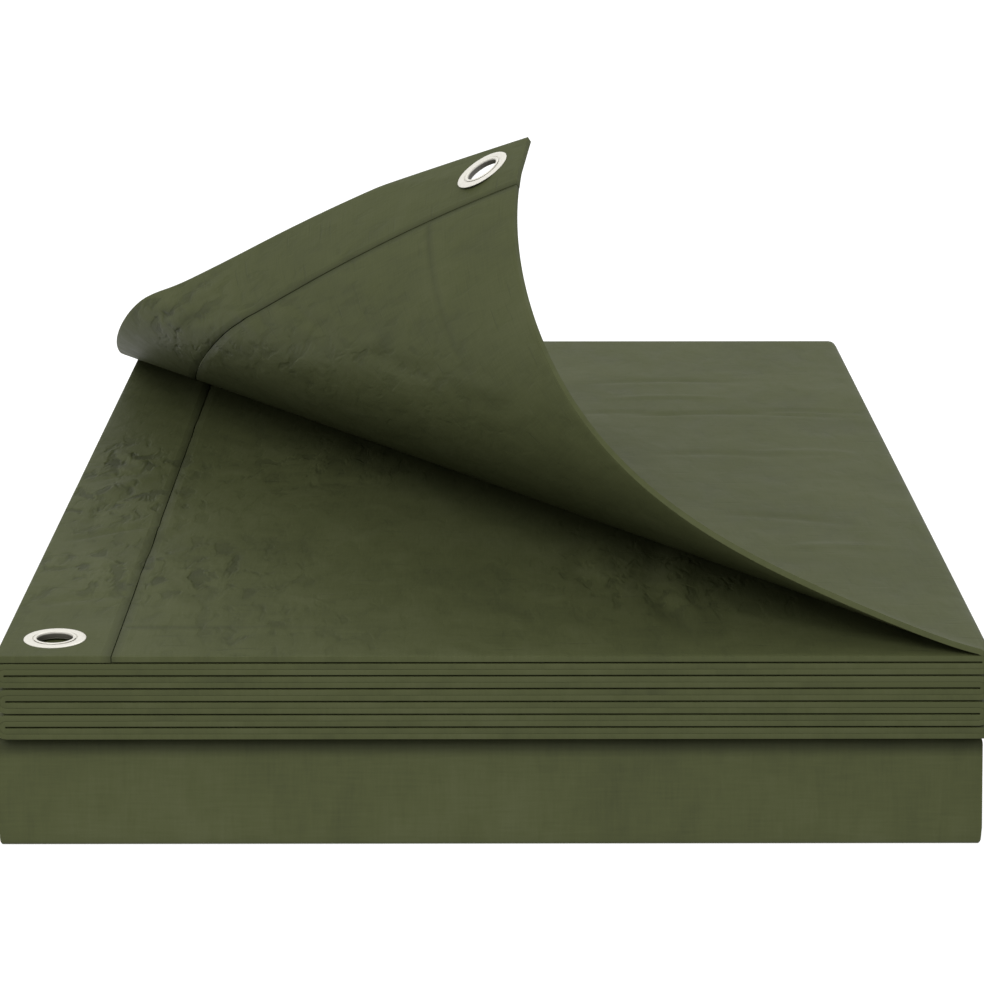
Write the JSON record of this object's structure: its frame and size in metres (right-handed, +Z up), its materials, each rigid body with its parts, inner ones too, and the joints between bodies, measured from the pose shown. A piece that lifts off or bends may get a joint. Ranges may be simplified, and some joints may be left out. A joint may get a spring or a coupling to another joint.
{
  "type": "folded tarp",
  "caption": "Folded olive poly tarp: a stack of layers lying on a wrapped bundle, with one hemmed corner of the top layer turned up and over to show its eyelet.",
  "frame": {"origin": "centre of the flat underside that the folded tarp lies on", "axes": "+X right, +Y back, +Z up, as seen from the front with the turned corner's root at the left"},
  "size_m": [0.3851, 0.5475, 0.2461],
  "materials": {
    "cloth": "coated woven poly, semi-matt, a little sheen at low angles",
    "hem": "coated woven poly, semi-matt, doubled at the hem",
    "eyelet_metal": "satin"
  },
  "bodies": {
    "root": {"cloth": "cloth", "lower_hem_end": "hem", "side_hem": "hem", "turned_hem": "hem", "lower_eyelet": "eyelet_metal", "lower_washer": "eyelet_metal", "turned_eyelet": "eyelet_metal", "turned_washer": "eyelet_metal"}
  },
  "joints": []
}
